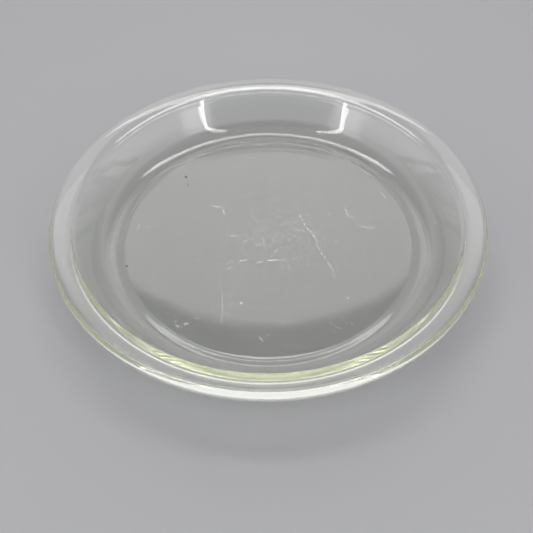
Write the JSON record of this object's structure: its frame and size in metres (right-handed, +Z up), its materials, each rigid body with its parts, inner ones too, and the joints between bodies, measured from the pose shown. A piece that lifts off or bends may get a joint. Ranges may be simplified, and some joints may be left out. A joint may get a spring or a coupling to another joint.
{
  "type": "pie dish",
  "caption": "Round clear pressed-glass pie dish: flat floor, wide corner, wall leaning outwards and a rim rising to a thick rounded lip; holds a pie or tart for baking and serving.",
  "frame": {"origin": "under the middle of the foot ring, on the surface that the dish stands on", "axes": "+Z up along the dish's axis; X and Y lie in the surface that it stands on"},
  "size_m": [0.241, 0.241, 0.032],
  "materials": {
    "pressed_glass": "clear, fire polished"
  },
  "bodies": {
    "root": {"glass_dish": "pressed_glass"}
  },
  "joints": []
}
